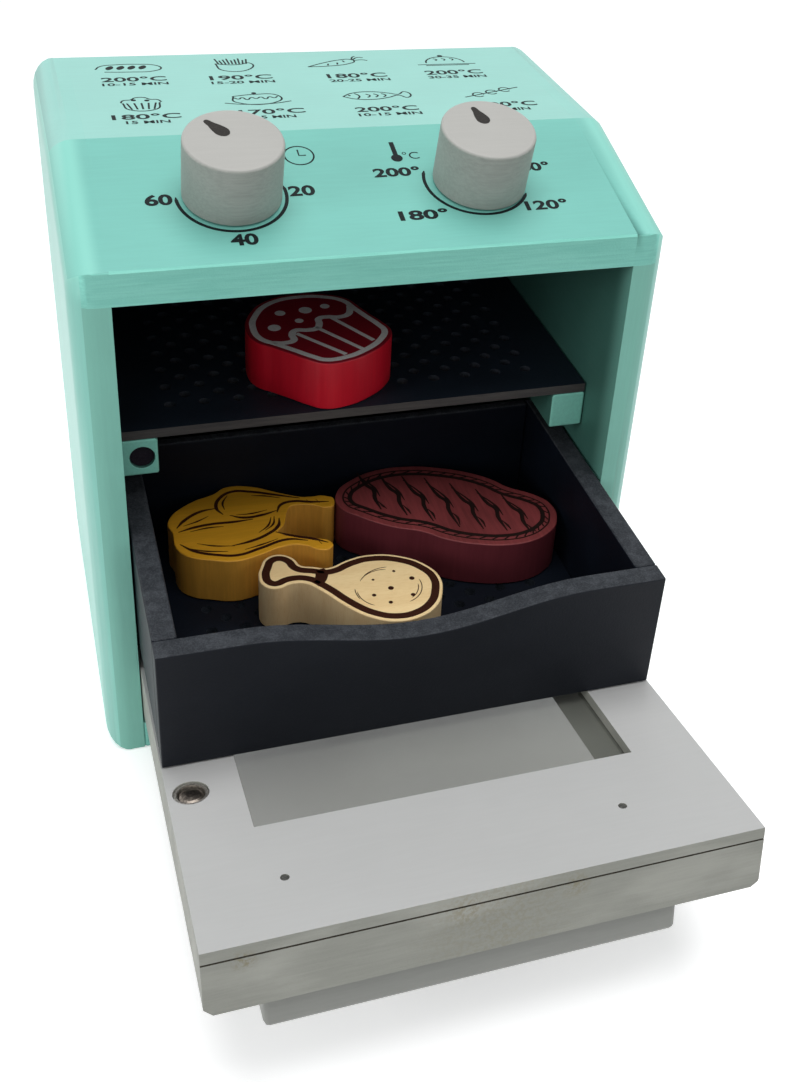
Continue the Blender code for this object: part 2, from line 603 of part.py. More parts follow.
def catch(panel, hinge):
    """The catch's steel cup and domed button, sunk in the door's inner panel."""
    seat = facing((0, 1, 0), CATCH_X, DOOR_HALF, CATCH_HEIGHT - PIVOT_HEIGHT)
    foot = -DOOR_PANEL_THICKNESS
    bore = rod("catch_hole", CATCH_HOLE_DIAMETER, foot - CUT_OVERRUN, CUT_OVERRUN, None)
    cut(panel, place(bore, seat, hinge))
    rim = CATCH_HOLE_DIAMETER / 2 - BORE_GAP
    bowl, floor = rim - CATCH_CUP_WALL, foot + CATCH_CUP_WALL
    cup = turned("catch_cup", [
        (0, floor), (bowl, floor), (bowl, -CATCH_CUP_RECESS), (rim, -CATCH_CUP_RECESS),
        (rim, foot), (0, foot),
    ], STEEL)
    radius, button_foot = CATCH_BUTTON_DIAMETER / 2, floor + SEAT_GAP
    profile = []
    for step in range(CATCH_DOME_STEPS + 1):
        turn = math.pi / 2 * step / CATCH_DOME_STEPS
        drop = CATCH_DOME_RISE * (1 - math.cos(turn))
        profile.append((radius * math.sin(turn), -CATCH_BUTTON_RECESS - drop))
    profile += [(radius, button_foot), (0, button_foot)]
    button = turned("catch_button", profile, DARK_STEEL)
    for piece in (cup, button):
        place(piece, seat, hinge)


def food(name, shares, place_shares, turn, level, look, holder):
    """A flat toy food lying on a level, turned about its own middle."""
    length, right, depth = (share * BASKET_INSIDE_WIDTH for share in place_shares)
    y = FRONT + depth if level == RACK_TOP_HEIGHT else BASKET_INSIDE_BACK - depth
    loop = [(x_share * length, y_share * length) for x_share, y_share in shares]
    made = plate(name, [loop], FOOD_THICKNESS, look, FOOD_EASE, smooth=True)
    place(made, at(right, y, level + SEAT_GAP + FOOD_THICKNESS / 2) @ Matrix.Rotation(turn, 4, "Z"))
    carry(holder, made)


def foods(rack_slide, basket_slide):
    """A cupcake on the rack; a roast bird, a drumstick and a steak in the basket."""
    left = [(-x, y) for x, y in reversed(CUPCAKE_HALF_SHARES[1:])]
    cake = list(CUPCAKE_HALF_SHARES) + [(0, CUPCAKE_CROWN_SHARE)] + left
    food("cupcake", cake, CUPCAKE_PLACE_SHARES, CUPCAKE_TURN, RACK_TOP_HEIGHT, RED_PAINT, rack_slide)
    for name, shares, places, turn, look in (
        ("roast_bird", ROAST_SHARES, ROAST_PLACE_SHARES, ROAST_TURN, MUSTARD),
        ("drumstick", DRUMSTICK_SHARES, DRUMSTICK_PLACE_SHARES, DRUMSTICK_TURN, BARE_WOOD),
        ("steak", STEAK_SHARES, STEAK_PLACE_SHARES, STEAK_TURN, MAROON),
    ):
        food(name, shares, places, turn, FLOOR_TOP, look, basket_slide)


for thing in list(bpy.data.objects):
    bpy.data.objects.remove(thing, do_unlink=True)
TOY = collection("toy_air_fryer")
CUTTERS = collection("cutters")

cabinet()
rails()
dials()
door()
foods(rack(), basket())
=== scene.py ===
"""The wooden toy air fryer as it looks: painted boards, printed scales, engraved foods.

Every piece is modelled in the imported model's frame, in metres, and rides on its bodies.
"""

import json
import math

import bmesh
import bpy
from mathutils import Matrix, Vector

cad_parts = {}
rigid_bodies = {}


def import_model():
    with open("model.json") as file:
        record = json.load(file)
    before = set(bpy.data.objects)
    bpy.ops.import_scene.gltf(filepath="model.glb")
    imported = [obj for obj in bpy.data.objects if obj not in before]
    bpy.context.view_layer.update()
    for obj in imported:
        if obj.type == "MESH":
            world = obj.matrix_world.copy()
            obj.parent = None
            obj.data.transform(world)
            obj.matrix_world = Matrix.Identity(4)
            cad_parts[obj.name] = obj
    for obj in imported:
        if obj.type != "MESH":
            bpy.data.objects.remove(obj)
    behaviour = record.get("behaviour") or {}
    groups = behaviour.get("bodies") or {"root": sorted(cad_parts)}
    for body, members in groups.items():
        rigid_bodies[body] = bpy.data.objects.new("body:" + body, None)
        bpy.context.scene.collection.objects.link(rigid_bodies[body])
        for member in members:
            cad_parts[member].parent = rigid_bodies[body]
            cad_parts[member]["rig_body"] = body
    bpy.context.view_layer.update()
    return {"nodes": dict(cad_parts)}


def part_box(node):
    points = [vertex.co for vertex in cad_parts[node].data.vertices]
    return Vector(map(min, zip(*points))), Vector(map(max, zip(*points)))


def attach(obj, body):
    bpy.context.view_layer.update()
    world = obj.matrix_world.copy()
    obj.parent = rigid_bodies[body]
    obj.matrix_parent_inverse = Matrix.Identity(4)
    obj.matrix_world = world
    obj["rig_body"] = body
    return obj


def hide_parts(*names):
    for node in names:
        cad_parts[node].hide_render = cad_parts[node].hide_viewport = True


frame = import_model()
NODES = frame["nodes"]

MM = 0.001
MERGE = 1e-6  # corners closer than this are one
SAME = 0.00002  # levels closer than this are one
PROUD = 0.00004  # how far ink stands out of its surface
FLAT = math.radians(1)  # faces that turn less than this are joined
SHARP = math.radians(35)  # an edge that turns more than this shows as an edge
FACING = 0.7  # a face points one way where its normal has more than this of it
TAPER = 0.3  # how thick a tapering line still is at its ends
CAD_ROUND = 0.0004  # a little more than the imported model's small round-overs and glue gaps


def at(x, y, z):
    return Matrix.Translation((x, y, z))


# The case: its slope runs from the top of the rail over the opening to the crease under the top
panel_low, panel_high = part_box("control_panel")
side_low, side_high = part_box("side_panel_right")
CASE_FRONT, CASE_TOP, SIDE_INNER = panel_low.y, side_high.z, side_low.x
CREASE = (panel_high.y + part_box("top_panel")[0].y) / 2
RAIL_TOP = 0.1990
SLOPE = math.atan2(CASE_TOP - RAIL_TOP, CREASE - CASE_FRONT)

# Frames of the two printed faces: X to the right, Y inwards, Z out of the face
slope_frame = at(0, CASE_FRONT, RAIL_TOP) @ Matrix.Rotation(SLOPE, 4, "X")
top_frame = at(0, CREASE, CASE_TOP)

# Widths of the rounded edges
SIDE_ROUND, BOARD_ROUND, BASKET_ROUND, FOOD_ROUND = 0.0006, 0.0003, 0.0005, 0.0005
PANEL_ROUND, DOOR_ROUND = 0.0004, 0.0026


# Shaders

def srgb(*values):
    """A linear colour from 0 to 255 screen values."""
    def linear(value):
        share = value / 255
        return ((share + 0.055) / 1.055) ** 2.4 if value > 10 else share / 12.92
    return tuple(linear(value) for value in values) + (1,)


def shade(colour, factor):
    return tuple(min(1, channel * factor) for channel in colour[:3]) + (1,)


class Value:
    """A number in a shader, with arithmetic."""

    def __init__(self, sheet, socket):
        self.sheet, self.socket = sheet, socket

    def maths(self, operation, *others):
        made = self.sheet.node("ShaderNodeMath", operation=operation)
        for socket, value in zip(made.inputs, (self,) + others):
            self.sheet.feed(socket, value)
        return Value(self.sheet, made.outputs[0])

    def __add__(self, other):
        return self.maths("ADD", other)

    def __mul__(self, other):
        return self.maths("MULTIPLY", other)

    def __sub__(self, other):
        return self.maths("SUBTRACT", other)

    def __rsub__(self, other):
        return self * -1 + other

    __radd__, __rmul__ = __add__, __mul__

    def ramp(self, low, high, start=0.0, end=1.0):
        """Smoothly from start to end as this goes from low to high."""
        made = self.sheet.node("ShaderNodeMapRange", interpolation_type="SMOOTHSTEP", clamp=True)
        for socket, value in zip(made.inputs, (self, low, high, start, end)):
            self.sheet.feed(socket, value)
        return Value(self.sheet, made.outputs[0])


class Nodes:
    """A tree of shader nodes in the making."""

    def __init__(self, tree):
        self.tree = tree

    def node(self, kind, inputs=None, **settings):
        made = self.tree.nodes.new(kind)
        for key, value in settings.items():
            setattr(made, key, value)
        for key, value in (inputs or {}).items():
            self.feed(made.inputs[key], value)
        return made

    def feed(self, socket, value):
        if isinstance(value, Value):
            value = value.socket
        if isinstance(value, bpy.types.NodeSocket):
            self.tree.links.new(value, socket)
        else:
            socket.default_value = value

    def seen(self):
        """1 on what the camera sees, by itself or in metal and glass, and 0 on what only lights."""
        path = self.node("ShaderNodeLightPath").outputs
        names = ("Is Camera Ray", "Is Glossy Ray", "Is Transmission Ray")
        camera_ray, glossy_ray, clear_ray = (Value(self, path[name]) for name in names)
        return (camera_ray + glossy_ray + clear_ray).maths("MINIMUM", 1)


class Sheet(Nodes):
    """A material in the making, on a Principled shader."""

    def __init__(self, name, **constants):
        self.material = bpy.data.materials.new(name)
        self.material.use_nodes = True
        super().__init__(self.material.node_tree)
        self.shader = self.tree.nodes["Principled BSDF"]
        for key, value in constants.items():
            self.shader.inputs[key.replace("_", " ")].default_value = value
        self.place = self.node("ShaderNodeTexCoord").outputs["Object"]
        axes = self.node("ShaderNodeSeparateXYZ", {0: self.place})
        self.x, self.y = (Value(self, socket) for socket in axes.outputs[:2])

    def noise(self, size, detail=3, stretch=(1, 1, 1), seed=0.0, rough=0.5):
        """Noise between 0 and 1, of a size in metres, drawn out by a factor along each axis."""
        counts = [1 / (size * factor) for factor in stretch]
        counted = self.node("ShaderNodeVectorMath", {0: self.place, 1: counts}, operation="MULTIPLY")
        shifted = self.node("ShaderNodeVectorMath", {0: counted.outputs[0], 1: (seed, seed, seed)},
                            operation="ADD")
        made = self.node("ShaderNodeTexNoise", {
            "Vector": shifted.outputs[0], "Scale": 1, "Detail": detail, "Roughness": rough,
        })
        return Value(self, made.outputs["Fac"])

    def spot(self, x, y, z, radius):
        """1 at a place, fading to 0 at a radius."""
        away = self.node("ShaderNodeVectorMath", {0: self.place, 1: (x, y, z)}, operation="DISTANCE")
        return Value(self, away.outputs["Value"]).ramp(0, radius, 1, 0)

    def mix(self, first, second, share):
        """A colour between two, by a share from 0 to 1."""
        made = self.node("ShaderNodeMix", data_type="RGBA", clamp_factor=True)
        colours = [socket for socket in made.inputs if socket.type == "RGBA"]
        self.feed(made.inputs["Factor"], share)
        self.feed(colours[0], first)
        self.feed(colours[1], second)
        return [socket for socket in made.outputs if socket.type == "RGBA"][0]

    def wear(self, colour, rough=None, height=None, depth=None):
        """Set what varies: colour, roughness and a bump of a depth in metres."""
        self.feed(self.shader.inputs["Base Color"], colour)
        if rough is not None:
            self.feed(self.shader.inputs["Roughness"], rough)
        if height is not None:
            bump = self.node("ShaderNodeBump", {"Strength": 1.0, "Distance": depth, "Height": height})
            self.feed(self.shader.inputs["Normal"], bump.outputs["Normal"])
        return self.material


def along(grain, factor):
    """A stretch for noise, by a factor along one axis."""
    return [factor if axis == grain else 1 for axis in "xyz"]


def painted(name, tone, grain, rough=0.42, depth=0.00003, vary=0.035, seed=0.0, ends=None):
    """Paint over a board whose grain still shows faintly along one axis, with a painted highlight
    towards rounded ends.
    """
    sheet = Sheet(name, Specular_IOR_Level=0.3)
    streaks = sheet.noise(0.0011, 4, along(grain, 14), seed, 0.6)
    cloud = sheet.noise(0.03, 2, seed=seed + 3)
    share = streaks.ramp(0.35, 0.7) * 0.5 + cloud.ramp(0.3, 0.7) * 0.5
    colour = sheet.mix(shade(tone, 1 - vary), shade(tone, 1 + vary), share)
    # A lighter tone out along rounded ends: a painted highlight
    if ends:
        reach = sheet.x.maths("ABSOLUTE")
        colour = sheet.mix(colour, ends, reach.ramp(*END_HIGHLIGHT_FADE))
    return sheet.wear(colour, streaks * 0.12 + (rough - 0.06), streaks + cloud * 0.4, depth)


def shaded_inner_paint(name, tone, dark):
    """The case's inner faces, in a darker mint that darkens further inwards: painted shade."""
    sheet = Sheet(name, Specular_IOR_Level=0.4)
    streaks = sheet.noise(0.0011, 4, along("y", 14), 4, 0.6)
    cloud = sheet.noise(0.02, seed=9)
    # Mixing towards dark inwards from the front edge paints the shade inside the case
    share = sheet.y.ramp(*INNER_SHADE_FADE) * 0.9 + cloud * 0.16 - 0.04
    return sheet.wear(sheet.mix(tone, dark, share), streaks * 0.12 + 0.42, streaks, 0.00005)


def blotched(sheet, colour, stains):
    """A colour with darker blotches, each at a place, with a radius and a strength."""
    blotch = sheet.noise(0.0014, 4, seed=4, rough=0.65).ramp(0.40, 0.62)
    for *spot, strength in stains:
        colour = sheet.mix(colour, STAIN_TONE, sheet.spot(*spot) * blotch * strength)
    return colour


def brushed(name, tone, light, grain, seed=0.0, depth=0.0001, streaky=0.6, stains=()):
    """A sawn edge under thin paint, its streaks plainer than a face's, with stained places."""
    sheet = Sheet(name, Specular_IOR_Level=0.3)
    streaks = sheet.noise(0.0009, 5, along(grain, 22), seed, 0.7)
    fleck = sheet.noise(0.0006, 2, seed=seed + 5)
    cloud = sheet.noise(0.012, 3, along(grain, 3), seed + 8)
    share = streaks.ramp(0.3, 0.72) * streaky + fleck * 0.15 + cloud.ramp(0.4, 0.7) * (0.85 - streaky)
    colour = sheet.mix(tone, light, share)
    if stains:
        colour = blotched(sheet, colour, stains)
    return sheet.wear(colour, streaks * 0.2 + 0.45, streaks + fleck * 0.5, depth)


def stained(name, tone, light, seed=0.0):
    """Black stain on fibreboard, with the board's fine speckle."""
    sheet = Sheet(name, Specular_IOR_Level=0.14)
    fleck = sheet.noise(0.0008, 3, seed=seed, rough=0.65)
    cloud = sheet.noise(0.02, 3, (1.6, 1, 1), seed + 4)
    share = fleck.ramp(0.45, 0.85) * 0.5 + cloud.ramp(0.35, 0.75) * 0.5
    return sheet.wear(sheet.mix(tone, light, share), cloud * 0.15 + 0.47, fleck, 0.00006)


def speckled(name, dark, pale, seed=0.0):
    """A sawn rim where the stain has soaked in unevenly."""
    sheet = Sheet(name, Specular_IOR_Level=0.2)
    fine = sheet.noise(0.0006, seed=seed, rough=0.7)
    broad = sheet.noise(0.004, seed=seed + 2)
    share = fine.ramp(0.4, 0.68) * 0.6 + broad.ramp(0.4, 0.7) * 0.45
    return sheet.wear(sheet.mix(dark, pale, share), fine * 0.2 + 0.6, fine, 0.00018)


def metal(name, tone, light, rough):
    sheet = Sheet(name, Metallic=1.0)
    fine = sheet.noise(0.0006)
    return sheet.wear(sheet.mix(tone, light, fine.ramp(0.35, 0.7)), fine * 0.2 + rough, fine, 0.00002)


def ink(name, tone, light, rough=0.5):
    """Print, and anything else that is flat and nearly of one tone."""
    sheet = Sheet(name, Specular_IOR_Level=0.12)
    fine = sheet.noise(0.0005, 2)
    return sheet.wear(sheet.mix(tone, light, fine.ramp(0.45, 0.75)), fine * 0.15 + rough)


def clear(name):
    """The pane: a thin grey sheet, its tint partly painted shade of the floor under the door seen
    through it.
    """
    sheet = Sheet(name, Specular_IOR_Level=0.4)
    haze = sheet.noise(0.03)
    sheet.feed(sheet.shader.inputs["Alpha"], haze * 0.1 + 0.43)
    colour = sheet.mix(srgb(108, 110, 103), srgb(129, 131, 123), haze)
    # A darker spot where the basket would reflect: a painted reflection
    reflected = sheet.mix(colour, srgb(74, 75, 69), sheet.spot(*PANE_BASKET_REFLECTION) * 0.6)
    return sheet.wear(reflected, haze * 0.08 + 0.14)


def wooden(name, tone, light, grain, seed=0.0):
    """Bare pale wood, with rings drawn out along the grain."""
    sheet = Sheet(name, Specular_IOR_Level=0.3)
    rings = sheet.noise(0.006, 4, along(grain, 9), seed, 0.55)
    pores = sheet.noise(0.0005, 3, along(grain, 6), seed + 1, 0.7)
    share = rings.ramp(0.3, 0.7) * 0.5 + pores.ramp(0.4, 0.8) * 0.5
    return sheet.wear(sheet.mix(light, tone, share), pores * 0.15 + 0.5, pores, 0.00005)


# Where light and shade are painted on the paint: a painted highlight out along a rounded end, and
# painted shade inwards from the case's front edge
END_HIGHLIGHT_FADE = (SIDE_INNER + 0.001, SIDE_INNER + 0.006)
INNER_SHADE_FADE = (CASE_FRONT, CASE_FRONT + 0.012)
# Where the door's top edge is stained: a place, a radius and a strength
DOOR_STAINS = (
    (-0.0745, -0.2190, 0.0603, 0.0050, 0.7), (-0.0106, -0.2190, 0.0600, 0.0070, 0.4),
    (0.0240, -0.2190, 0.0605, 0.0060, 0.5), (0.0000, -0.2200, 0.0540, 0.0350, 0.25),
)
STAIN_TONE = srgb(126, 114, 74)
# Where a dark reflection of the basket is painted on the pane: a place and a radius
PANE_BASKET_REFLECTION = (-0.048, -0.135, 0.045, 0.045)
PALETTE = {
    # The mint is one paint; its tones per face (top, slope, sides, front) differ by painted light and
    # shade, the slope darkest
    "mint_top": painted("mint_top", srgb(142, 195, 186), "x", 0.45),
    # The slope's lighter ends are a painted highlight along the side round-overs
    "mint_slope": painted("mint_slope", srgb(112, 180, 169), "x", seed=1, ends=srgb(132, 200, 187)),
    "mint_side": painted("mint_side", srgb(146, 213, 199), "z", 0.34, depth=0.00005, seed=4),
    "mint_front": painted("mint_front", srgb(130, 194, 178), "z", depth=0.00005, seed=6),
    "mint_rail": brushed("mint_rail", srgb(124, 200, 185), srgb(146, 220, 205), "x"),
    # The case's inner faces: a darker mint, darkening inwards, is painted shade
    "mint_inner_shaded": shaded_inner_paint("mint_inner_shaded", srgb(110, 170, 156), srgb(62, 108, 98)),
    "mint_block": painted("mint_block", srgb(140, 214, 197), "y", depth=0.00006, vary=0.08, seed=7),
    # One black stain: black, on the basket's inner faces and the case's black inside, is darker than
    # black_front on the basket's outer faces; that difference is painted shade
    "black": stained("black", srgb(6, 11, 20), srgb(12, 20, 31)),
    "rack_black": stained("rack_black", srgb(23, 30, 39), srgb(31, 40, 51), seed=1),
    "black_front": stained("black_front", srgb(22, 25, 31), srgb(29, 32, 38), seed=3),
    "black_rim": speckled("black_rim", srgb(33, 36, 41), srgb(65, 68, 73)),
    "raw_edge": brushed("raw_edge", srgb(48, 46, 47), srgb(78, 74, 72), "x", seed=3),
    "hole_wall": speckled("hole_wall", srgb(30, 36, 44), srgb(56, 62, 70), seed=2),
    "grey": painted("grey", srgb(180, 180, 179), "x", vary=0.02, seed=8),
    "grey_edge": brushed("grey_edge", srgb(142, 143, 135), srgb(168, 168, 160), "x", seed=5,
                         streaky=0.25, stains=DOOR_STAINS),
    "seam": ink("seam", srgb(54, 50, 44), srgb(84, 78, 68)),
    # The window opening's walls: the door's sawn edge in a darker tone, painted shade
    "reveal": brushed("reveal", srgb(66, 65, 60), srgb(90, 88, 82), "x", seed=6),
    "grey_handle": painted("grey_handle", srgb(141, 142, 137), "x", vary=0.04, seed=7),
    "pin_hole": ink("pin_hole", srgb(70, 70, 68), srgb(104, 104, 100)),
    "dial": painted("dial", srgb(163, 162, 158), "x", vary=0.03, seed=9),
    "dial_side": brushed("dial_side", srgb(150, 153, 147), srgb(172, 174, 168), "x", seed=9,
                         depth=0.00005),
    "print": ink("print", srgb(12, 20, 22), srgb(26, 36, 36)),
    "pointer": ink("pointer", srgb(38, 36, 34), srgb(54, 51, 48)),
    "steel": metal("steel", srgb(176, 172, 166), srgb(216, 212, 204), 0.32),
    "dark_steel": metal("dark_steel", srgb(96, 90, 84), srgb(130, 122, 114), 0.22),
    "magnet": ink("magnet", srgb(30, 26, 34), srgb(46, 40, 48), 0.35),
    "pane": clear("pane"),
    "red": painted("red", srgb(196, 20, 40), "z", 0.34, vary=0.08, seed=11),
    "red_top": painted("red_top", srgb(148, 24, 40), "x", 0.4, vary=0.08, seed=12),
    "cake_line": ink("cake_line", srgb(232, 228, 225), srgb(248, 244, 240)),
    "mustard": painted("mustard", srgb(220, 158, 38), "x", 0.42, vary=0.1, seed=13),
    "mustard_side": painted("mustard_side", srgb(216, 156, 62), "z", 0.45, vary=0.12, seed=14),
    "wood_top": wooden("wood_top", srgb(222, 188, 134), srgb(240, 212, 160), "x"),
    "wood_side": wooden("wood_side", srgb(236, 196, 142), srgb(250, 220, 170), "z", 3),
    "maroon": painted("maroon", srgb(126, 56, 57), "y", 0.5, vary=0.3, seed=16),
    "maroon_side": painted("maroon_side", srgb(102, 42, 50), "z", 0.45, vary=0.12, seed=17),
    "burn": ink("burn", srgb(44, 18, 8), srgb(62, 28, 14), 0.6),
    "burn_dark": ink("burn_dark", srgb(24, 14, 12), srgb(38, 22, 18), 0.6),
    "spindle_wood": wooden("spindle_wood", srgb(190, 154, 108), srgb(214, 184, 138), "z", 5),
}


# Pieces

def body_of(node):
    return NODES[node]["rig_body"]


def ship(name, bm, body, looks, nodes=(), pick=None, weighted=True):
    """Make a piece from a bmesh: its body, its looks and the CAD nodes that it stands for."""
    bmesh.ops.recalc_face_normals(bm, faces=bm.faces)
    for face in bm.faces:
        face.smooth = True
        if pick:
            face.material_index = pick(face)
    data = bpy.data.meshes.new(name)
    bm.to_mesh(data)
    bm.free()
    data.set_sharp_from_angle(angle=SHARP)
    for look in looks:
        data.materials.append(PALETTE[look])
    made = bpy.data.objects.new(name, data)
    bpy.context.scene.collection.objects.link(made)
    if weighted:
        even = made.modifiers.new("even", "WEIGHTED_NORMAL")
        even.keep_sharp = True
    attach(made, body)
    if nodes:
        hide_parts(*nodes)
    return made


def dress(node, look):
    """Give a CAD node that shows as it is its look."""
    NODES[node].material_slots[0].material = PALETTE[look]


def ease(bm, edges, width, steps=2, held=True):
    """Round edges over, held back where a neighbouring edge is short."""
    bmesh.ops.bevel(bm, geom=edges, offset=width, offset_type="OFFSET", segments=steps,
                    profile=0.5, affect="EDGES", clamp_overlap=held, material=-1)


def bare(node):
    """A CAD node's mesh as a bmesh, with its flats joined."""
    bm = bmesh.new()
    bm.from_mesh(NODES[node].data)
    bmesh.ops.remove_doubles(bm, verts=bm.verts, dist=MERGE)
    bmesh.ops.dissolve_limit(bm, angle_limit=FLAT, verts=bm.verts, edges=bm.edges)
    return bm


def refined(node, looks, pick=None, width=0.0, chosen=None, shift=None, level=None):
    """A CAD node drawn again: cut across at a level, corners shifted, chosen sharp edges eased."""
    bm = bare(node)
    if level:
        parts = list(bm.verts) + list(bm.edges) + list(bm.faces)
        bmesh.ops.bisect_plane(bm, geom=parts, plane_co=(0, 0, level), plane_no=(0, 0, 1))
    for vert in bm.verts if shift else ():
        vert.co = shift(vert.co)
    if width:
        sharp = [e for e in bm.edges if len(e.link_faces) == 2 and e.calc_face_angle(0) > SHARP]
        ease(bm, [e for e in sharp if not chosen or chosen(e)], width)
    return ship(node + "_shown", bm, body_of(node), looks, (node,), pick)


def lies_along(edge, axis):
    reach = edge.verts[1].co - edge.verts[0].co
    return abs(reach[axis]) > 0.99 * reach.length


def baked(curve):
    """A curve's or a word's mesh as a bmesh."""
    guide = bpy.data.objects.new(curve.name, curve)
    bpy.context.scene.collection.objects.link(guide)
    seen = guide.evaluated_get(bpy.context.evaluated_depsgraph_get())
    bm = bmesh.new()
    bm.from_mesh(bpy.data.meshes.new_from_object(seen))
    bpy.data.objects.remove(guide)
    bmesh.ops.remove_doubles(bm, verts=bm.verts, dist=MERGE / 10)
    return bm


def add_spline(curve, points, closed, smooth, taper=False):
    """Add a line through points, smooth or straight between them, thinner at its ends if it tapers."""
    spline = curve.splines.new("BEZIER" if smooth else "POLY")
    ends = spline.bezier_points if smooth else spline.points
    ends.add(len(points) - 1)
    for end, (x, y) in zip(ends, points):
        end.co = (x, y, 0) if smooth else (x, y, 0, 1)
        if smooth:
            end.handle_left_type = end.handle_right_type = "AUTO"
    if taper:
        ends[0].radius = ends[-1].radius = TAPER
    spline.use_cyclic_u = closed


def board(loops, thickness, smooth=False, eased=0.0):
    """A board cut to the first loop and pierced by the rest, about its middle plane."""
    curve = bpy.data.curves.new("board", "CURVE")
    curve.dimensions, curve.fill_mode = "2D", "BOTH"
    curve.extrude, curve.bevel_depth = thickness / 2 - eased, eased
    curve.bevel_resolution, curve.resolution_u = 2, 8
    for loop in loops:
        add_spline(curve, loop, True, smooth)
    return baked(curve)


def join(parts):
    """Several bmeshes as one."""
    bm = bmesh.new()
    for part in parts:
        held = bpy.data.meshes.new("held")
        part.to_mesh(held)
        part.free()
        bm.from_mesh(held)
        bpy.data.meshes.remove(held)
    return bm


def strokes(lines, width, place, closed=False, smooth=True, taper=False):
    """Flat inked lines of a width through points, a hair proud of a surface."""
    curve = bpy.data.curves.new("strokes", "CURVE")
    curve.dimensions, curve.resolution_u = "3D", 6
    curve.bevel_depth, curve.bevel_resolution, curve.use_fill_caps = width / 2, 1, True
    for line in lines:
        add_spline(curve, line, closed, smooth, taper)
    bm = baked(curve)
    squash = Matrix.Diagonal((1, 1, 2 * PROUD / width, 1))
    bmesh.ops.transform(bm, matrix=place @ squash, verts=bm.verts)
    return bm


def blots(loops, place):
    """Filled inked shapes, a hair proud of a surface."""
    parts = [board([loop], 2 * PROUD, smooth=True) for loop in loops]
    for part in parts:
        bmesh.ops.transform(part, matrix=place, verts=part.verts)
    return join(parts)


def lettered(words, wide, high, place, bold=0.035):
    """Plain characters of a given size, centred on a place."""
    curve = bpy.data.curves.new("words", "FONT")
    curve.body, curve.size, curve.offset, curve.resolution_u = words, 1, bold, 4
    bm = baked(curve)
    xs, ys = [v.co.x for v in bm.verts], [v.co.y for v in bm.verts]
    fit = Matrix.Diagonal((wide / (max(xs) - min(xs)), high / (max(ys) - min(ys)), 1, 1))
    middle = at(-(max(xs) + min(xs)) / 2, -(max(ys) + min(ys)) / 2, 0)
    bmesh.ops.transform(bm, matrix=place @ at(0, 0, PROUD) @ fit @ middle, verts=bm.verts)
    return bm


def arc(radius, start, end, steps, middle, flat=1.0):
    """Points along an arc, in degrees anticlockwise from the right, its height by a factor."""
    turns = [math.radians(start + (end - start) * step / steps) for step in range(steps + 1)]
    return [(middle[0] + radius * math.cos(t), middle[1] + radius * flat * math.sin(t)) for t in turns]


def ring(radius, middle=(0, 0), steps=12):
    """Points round a circle."""
    return arc(radius, 0, 360 - 360 / steps, steps - 1, middle)


def scaled(lines, factor):
    return [[(x * factor, y * factor) for x, y in line] for line in lines]


def faces_up(face):
    return 1 if face.normal.z > FACING else 0


def faces_front(face):
    return 1 if face.normal.y < -FACING else 0


# The case

def meet(spot):
    """Close the glue gaps, which paint fills on the real thing."""
    x = math.copysign(SIDE_INNER, spot.x) if abs(spot.x) > SIDE_INNER - CAD_ROUND else spot.x
    if panel_high.y - SAME < spot.y < CREASE:
        return Vector((x, CREASE, spot.z + (CREASE - spot.y) * math.tan(SLOPE)))
    return Vector((x, spot.y, spot.z))


def show_sides():
    """The two sides with their rails and runners, each face in the look of its place."""
    looks = ["mint_side", "mint_front", "mint_inner_shaded", "mint_top", "mint_slope", "mint_rail"]
    for side, sign in (("left", -1), ("right", 1)):
        def pick(face, sign=sign):
            middle = face.calc_center_median()
            if face.normal.x * sign < -0.9:
                return looks.index("mint_inner_shaded")
            if face.normal.z > 0.5:
                return looks.index("mint_top" if middle.y > CREASE else "mint_slope")
            if face.normal.y < -0.9:
                return looks.index("mint_rail" if middle.z > panel_low.z else "mint_front")
            return looks.index("mint_side")
        refined("side_panel_" + side, looks, pick, SIDE_ROUND, lambda e: lies_along(e, 0)
                and abs(e.verts[0].co.z - panel_low.z) > SAME, level=panel_low.z)
        refined("rack_rail_" + side, ["mint_inner_shaded", "mint_block"], faces_front, BOARD_ROUND)
        refined("basket_runner_" + side, ["mint_inner_shaded"])
        dress("hinge_pin_" + side, "steel")


def show_panels():
    """The boards between the sides: the dials' panel, the base, the top and the back."""
    refined("control_panel", ["mint_slope", "mint_rail", "black"],
            lambda f: 1 if f.normal.y < -FACING else 2 if f.normal.z < -FACING else 0, shift=meet)
    refined("base_panel", ["mint_inner_shaded", "mint_rail", "mint_side"],
            lambda f: 1 if f.normal.y < -FACING else 2 if f.normal.y > FACING else 0, shift=meet)
    low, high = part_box("top_panel")
    bm = bmesh.new()
    bmesh.ops.create_cube(bm, size=1)
    size = Vector((2 * SIDE_INNER, high.y - CREASE, high.z - low.z))
    bmesh.ops.scale(bm, vec=size, verts=bm.verts)
    bmesh.ops.translate(bm, vec=(0, (high.y + CREASE) / 2, (high.z + low.z) / 2), verts=bm.verts)

    def top_back(edge):
        ends = [v.co for v in edge.verts]
        return lies_along(edge, 0) and all(end.y > 0 and end.z > low.z + SAME for end in ends)
    ease(bm, [e for e in bm.edges if top_back(e)], SIDE_ROUND)
    ship("top_panel_shown", bm, "cabinet", ["mint_top", "black"], ("top_panel",),
         lambda f: 1 if f.normal.z < -FACING else 0)
    refined("back_panel", ["mint_side", "black"], faces_front)
    dress("catch_magnet", "magnet")


